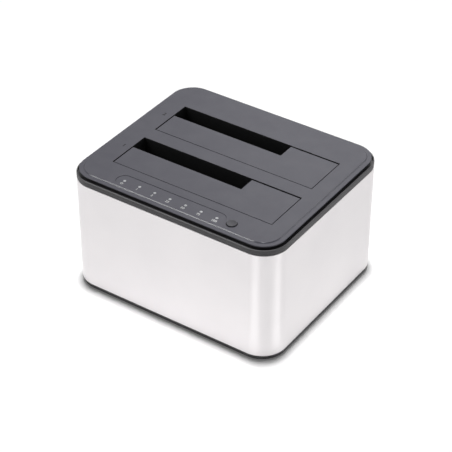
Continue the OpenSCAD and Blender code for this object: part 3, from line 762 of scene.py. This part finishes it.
spring.rotation_euler.x = coil_start
spring.location = Vector((coil_left, slot_fronts["front"] - hinge_back, hinge_height)) * MM
only(spring)
settled("front_spring")
shaded(spring)
rear_spring = copied(spring, "rear_spring", (0, slot_fronts["rear"] - slot_fronts["front"], 0))
for piece, bay in ((spring, "front"), (rear_spring, "rear")):
    dressed(piece, "steel", bay + "_flap", [bay + "_flap_spring"])
spring_box = [round(v / MM, 2) for corner in (spring.bound_box[0], spring.bound_box[6]) for v in corner]
cad_box = [round(v, 2) for corner in box_of("front_flap_spring") for v in corner]
print("spring box:", spring_box, "CAD:", cad_box)

# %% [markdown]
# ## Indicator row
#
# The row sits on a pill-shaped inlay. Seven light points come up through it, and a small mark is printed in
# front of each: a power sign, the two bays, and the four quarters of a copy run. The inlay only needs its
# edge broken. A light point is a small dome turned on a lathe, made once and copied.

# %% Inlay, light guide and light points
inlay_low, inlay_high = box_of("indicator_panel")
inlay_top = inlay_high.z
row_y = (inlay_low.y + inlay_high.y) / 2
light_count, light_pitch, light_radius, light_root, dome_rise = 7, 10.1, 0.82, -0.3, 0.14
row_start = (inlay_low.x + inlay_high.x) / 2 - light_pitch * (light_count - 1) / 2

inlay = traced("inlay", "indicator_panel")
softened(inlay, 0.06)
dressed(inlay, "cover", stands_for=["indicator_panel"])
guide = traced("guide_bar", "light_guide")
softened(guide, 0.08)
dressed(guide, "clear_guide", stands_for=["light_guide"])

rises = [math.radians(angle) for angle in range(0, 91, 15)]
profile = [(0, light_root), (light_radius, light_root)]
profile += [(light_radius * math.cos(rise), dome_rise * math.sin(rise)) for rise in rises]
light = turned("light_1", profile, (row_start, row_y, inlay_top), steps=24)
shaded(light)
lights = [light]
for i in range(1, light_count):
    lights.append(copied(light, f"light_{i + 1}", (i * light_pitch, 0, 0)))
for light in lights:
    dressed(light, "clear_guide")

# %% Printed marks
ink_depth, digit_height, digit_bold, capital = 0.02, 1.6, 0.02, 0.7
marks_before_lights = 2.7
marks_y = row_y - marks_before_lights


def printed(name, words, height, place, thicker=0.0):
    """Words as a thin print, centred on a place."""
    bpy.ops.object.select_all(action="DESELECT")
    bpy.ops.object.text_add()
    letters = bpy.context.object.data
    letters.body = words
    letters.size = height * MM / capital
    letters.offset = thicker * MM
    letters.extrude = ink_depth / 2 * MM
    letters.align_x = letters.align_y = "CENTER"
    bpy.ops.object.convert(target="MESH")
    bpy.ops.transform.translate(value=Vector(place) * MM)
    return settled(name)


def ring_sign(name, place, outer=0.8, line=0.25, gap=0.35, bar_lift=0.1):
    """Power sign: a ring that is open at the back, and a bar in the opening."""
    x, y, z = place
    low, high = z - ink_depth / 2, z + ink_depth / 2
    inner = outer - line
    section = [(inner, low), (outer, low), (outer, high), (inner, high), (inner, low)]
    ring = turned(name, section, (x, y, 0), steps=32)
    cut_out(ring, block("opening", (x - gap, y, low - line), (x + gap, y + 2 * outer, high + line)))
    bar = block("bar", (x - line / 2, y + bar_lift, low), (x + line / 2, y + outer + bar_lift, high))
    return joined(name, [bar, ring])


dressed(ring_sign("mark_power", (row_start, marks_y, inlay_top)), "lamp")
for i, words in enumerate(("1", "2", "25", "50", "75", "100"), start=1):
    place = (row_start + i * light_pitch, marks_y, inlay_top)
    dressed(printed("mark_" + words, words, digit_height, place, digit_bold), "lamp")

# %% [markdown]
# ## Round button
#
# The button at the end of the row is a turned piece: a stem onto the switch, a flange that keeps it under
# the cover, and a dished top with a rounded rim. The profile is drawn from the axis outward and spun once.

# %% Round button
button_low, button_high = box_of("clone_button")
button_axis = ((button_low.x + button_high.x) / 2, (button_low.y + button_high.y) / 2, 0)
stem_radius, flange_radius, cap_radius, rim = 1.4, 3.8, 2.9, 0.35
flange_low, flange_high, button_top, dish = 73.4, 74.1, button_high.z, 0.25

profile = [(0, button_low.z), (stem_radius, button_low.z), (stem_radius, flange_low),
           (flange_radius, flange_low), (flange_radius, flange_high), (cap_radius, flange_high)]
profile += arc(cap_radius - rim, button_top - rim, rim, 0, 100)
profile += [(1.7, button_top - 0.6 * dish), (0.9, button_top - 0.9 * dish), (0, button_top - dish)]
button = turned("round_button", profile, button_axis)
shaded(button)
dressed(button, "button", "clone_button", ["clone_button"])

# %% [markdown]
# ## Feet and power button
#
# Both are turned too. A foot has a rounded rim and a shallow dimple, made once and copied to the other
# corners. The power button lies along Y: a stem into the switch, a flange, and a dished face with a ring.

# %% Feet
foot_x, foot_y, foot_radius, foot_top, foot_round = 45.0, 40.0, 5.0, 1.5, 0.5

profile = [(0, 0.3), (2.6, 0.3), (3.0, 0.1)]
profile += arc(3.3, 0.2, 0.2, 225, 270, 2) + arc(foot_radius - foot_round, foot_round, foot_round, 270, 360)
profile += [(foot_radius, foot_top), (0, foot_top)]
foot = turned("foot_1", profile, (-foot_x, -foot_y, 0))
shaded(foot)
feet = [foot]
for i, by in enumerate(((2 * foot_x, 0, 0), (0, 2 * foot_y, 0), (2 * foot_x, 2 * foot_y, 0)), start=2):
    feet.append(copied(foot, f"foot_{i}", by))
for foot in feet:
    dressed(foot, "rubber", stands_for=["rubber_feet"])

# %% Power button
knob_low, knob_high = box_of("power_button")
knob_axis = ((knob_low.x + knob_high.x) / 2, 0, (knob_low.z + knob_high.z) / 2)
stem_end, flange_back, flange_front, face = knob_low.y, 52.05, 53.65, knob_high.y
knob_stem, knob_flange, knob_radius, knob_rim = 1.6, 5.2, 4.0, 0.4
face_depths = [(3.1, 0), (2.9, 0.2), (2.4, 0.2), (2.2, 0.05), (1.2, 0.1), (0, 0.12)]

profile = [(0, stem_end), (knob_stem, stem_end), (knob_stem, flange_back), (knob_flange, flange_back),
           (knob_flange, flange_front), (knob_radius, flange_front)]
profile += arc(knob_radius - knob_rim, face - knob_rim, knob_rim, 0, 90)
profile += [(radius, face - depth) for radius, depth in face_depths]
knob = turned("push_knob", profile, knob_axis, axis="Y")
shaded(knob)
dressed(knob, "button", "power_button", ["power_button"])

# %% [markdown]
# ## Pieces that only need their edges broken
#
# Mouldings, sheet metal and boards whose CAD shape is already right get one treatment: a copy with merged
# faces and a small bevel on every sharp edge, as wide as the way it is made leaves it.

# %% Pieces with broken edges
broken = [
    ("tray", "base_tray", "band", 0.2),
    ("front_chute", "front_drive_well", "black_plastic", 0.15),
    ("rear_chute", "rear_drive_well", "black_plastic", 0.15),
    ("front_socket", "front_sata_socket", "black_plastic", 0.12),
    ("rear_socket", "rear_sata_socket", "black_plastic", 0.12),
    ("front_contacts", "front_sata_contacts", "contact", 0.06),
    ("rear_contacts", "rear_sata_contacts", "contact", 0.06),
    ("front_pin", "front_hinge_pin", "steel", 0.2),
    ("rear_pin", "rear_hinge_pin", "steel", 0.2),
    ("ports_frame", "port_plate", "black_plastic", 0.2),
    ("usb_can", "usb_port_shell", "steel", 0.1),
    ("usb_tongue", "usb_insulator", "usb_blue", 0.12),
    ("jack_body", "dc_jack", "black_plastic", 0.2),
    ("switch_body", "power_switch", "black_plastic", 0.25),
    ("screws_case", "case_screws", "steel", 0.14),
    ("screws_cover", "cover_screws", "steel", 0.12),
    ("screws_well", "well_screws", "steel", 0.12),
    ("screws_board", "board_screws", "steel", 0.12),
    ("screws_row", "led_board_screws", "steel", 0.1),
    ("board_main", "main_board", "board", 0.06),
    ("board_row", "led_board", "board", 0.06),
    ("row_leds", "leds", "lamp", 0.12),
    ("row_switch", "tact_switch", "black_plastic", 0.15),
    ("headers", "ribbon_headers", "black_plastic", 0.25),
    ("chip_bodies", "bridge_chips", "chip", 0.12),
    ("coil_bodies", "power_coils", "coil", 0.7),
]
for name, node, slot, width in broken:
    piece = traced(name, node)
    softened(piece, width)
    dressed(piece, slot, stands_for=[node])
plunger = traced("row_plunger", "tact_plunger")
softened(plunger, 0.2)
dressed(plunger, "black_plastic", "clone_button", ["tact_plunger"])

# %% [markdown]
# ## Small parts on the boards
#
# These show only when the case is open. The capacitors are cans in a shrink sleeve: a rolled groove near
# the foot, and a bare top. The chips have bent leads, one lead drawn and repeated along a side. The ribbon
# is a flat cable of eight round wires, which are the ridges left between seven pinched lines.

# %% Capacitors
can_low, can_high = box_of("capacitors")
can_radius, can_spacing, can_round, can_lip, can_sink = 3.8, 8.0, 0.3, 0.4, 0.15
rolled_groove = [(3.8, 1.4), (3.45, 1.7), (3.45, 2.0), (3.8, 2.3)]
lid_drops = [(0, 0.3), (3.1, 0.3), (3.1, 0.08), (2.8, 0.05), (0, 0.05)]
can_foot = (can_high.x - can_radius, (can_low.y + can_high.y) / 2, can_low.z)
can_tall = can_high.z - can_low.z

profile = [(0, 0), (can_radius - can_round, 0)] + arc(can_radius - can_round, can_round, can_round, 270, 360)
profile += rolled_groove + arc(can_radius - can_lip, can_tall - can_lip, can_lip, 0, 90)
profile += [(3.2, can_tall - can_sink), (0, can_tall - can_sink)]
can = turned("can_1", profile, can_foot)
lid = turned("can_lid_1", [(radius, can_tall - drop) for radius, drop in lid_drops], can_foot)
for piece in (can, lid):
    shaded(piece)
other_can = copied(can, "can_2", (-can_spacing, 0, 0))
other_lid = copied(lid, "can_lid_2", (-can_spacing, 0, 0))
for piece, slot in ((can, "can"), (other_can, "can"), (lid, "steel"), (other_lid, "steel")):
    dressed(piece, slot, stands_for=["capacitors"])

# %% Chip leads
board_top = 9.6
lead_wide, lead_thick, lead_foot, lead_slope, lead_rise, lead_tuck = 0.32, 0.14, 0.5, 0.15, 0.45, 0.1


def chip_leads(name, centre, reach, count, pitch, turns):
    """Bent leads along the back side of a chip, and copies turned to its other sides."""
    x, y = centre
    left, back = x - (count - 1) * pitch / 2 - lead_wide / 2, y + reach + lead_foot
    lead = block(name, (left, back, board_top), (left + lead_wide, back + lead_foot, board_top + lead_thick))
    opened(lead)
    pick("FACE", lambda face: face.normal.y < -0.9)
    for step in ((0, -lead_slope, lead_rise), (0, lead_slope - lead_foot - lead_tuck, 0)):
        bpy.ops.mesh.extrude_region_move(TRANSFORM_OT_translate={"value": Vector(step) * MM})
    closed()
    modified(lead, "ARRAY", count=count, use_relative_offset=False, use_constant_offset=True,
             constant_offset_displace=(pitch * MM, 0, 0))
    sides = [lead]
    for turn in turns:
        only(lead)
        bpy.ops.object.duplicate()
        bpy.ops.transform.rotate(value=math.radians(turn), orient_axis="Z",
                                 center_override=Vector((x, y, board_top)) * MM)
        sides.append(settled("side"))
    leads = joined(name, sides)
    softened(leads, 0.03)
    return dressed(leads, "steel")


chip_leads("leads_bridge", (14, 18), 6.0, 13, 0.8, (90, 180, 270))
chip_leads("leads_flash", (24, -24), 2.5, 4, 1.27, (180,))

# %% Ribbon
ribbon_low, ribbon_high = box_of("ribbon_cable")
wire_count, pinch_half, pinch_depth = 8, 0.22, 0.35
wire_pitch = (ribbon_high.x - ribbon_low.x) / wire_count
pinches = [ribbon_low.x + i * wire_pitch for i in range(1, wire_count)]

ribbon = block("flat_cable", ribbon_low, ribbon_high)
opened(ribbon)
for pinch in pinches:
    for off in (-pinch_half, 0, pinch_half):
        bpy.ops.mesh.select_all(action="SELECT")
        bpy.ops.mesh.bisect(plane_co=Vector((pinch + off, 0, 0)) * MM, plane_no=(1, 0, 0))
pick("VERT", lambda vertex: any(abs(vertex.co.x / MM - pinch) < NEAR for pinch in pinches))
bpy.ops.transform.resize(value=(1, pinch_depth, 1), center_override=(ribbon_low + ribbon_high) / 2 * MM)
closed()
softened(ribbon, 0.08)
dressed(ribbon, "ribbon", stands_for=["ribbon_cable"])

# %% Jack pin and port contacts
pin_low, pin_high = box_of("dc_jack_pin")
pin_axis = ((pin_low.x + pin_high.x) / 2, 0, (pin_low.z + pin_high.z) / 2)
pin_radius, pin_round = 1.05, 0.5
pin_end = pin_high.y - pin_round
profile = [(0, pin_low.y), (pin_radius, pin_low.y), (pin_radius, pin_end)]
profile += arc(pin_radius - pin_round, pin_end, pin_round, 0, 90) + [(0, pin_high.y)]
jack_pin = turned("jack_pin", profile, pin_axis, axis="Y", steps=32)
shaded(jack_pin)
dressed(jack_pin, "steel", stands_for=["dc_jack_pin"])

contact_low, contact_high = (-1.65, 48.5, 16.15), (-0.85, 54.8, 16.3)
contact_steps = ((2.5, 0, 0), (0, 0, -3.25), (2.5, 0, -3.25))
tongue = block("tongue", contact_low, contact_high)
port_contacts = joined("port_contacts", [tongue] + [copied(tongue, "tongue", by) for by in contact_steps])
softened(port_contacts, 0.05)
dressed(port_contacts, "contact")

# %% [markdown]
# ## Marks beside the slots
#
# A small dark numeral stands at the left end of each slot. It is printed like the marks of the indicator
# row, in black ink and a little bolder, so that it still reads at arm's length.

# %% Slot numerals
numeral_height, numeral_bold = 2.6, 0.08
numeral_places = {"1": (-55.6, -19.6), "2": (-56.0, 19.3)}

for words, place in numeral_places.items():
    numeral = printed("numeral_" + words, words, numeral_height, (*place, cover_top), numeral_bold)
    dressed(numeral, "black_plastic")

# %% [markdown]
# ## Finish
#
# Any CAD node that still shows gets the finish of its slot.

# %% Finishes of the CAD nodes
slot_of = {part["node"]: part["material_slot"] for part in frame["record"]["subparts"]}
for node, solid in nodes.items():
    solid.data.materials.clear()
    solid.data.materials.append(finishes[slot_of[node]])
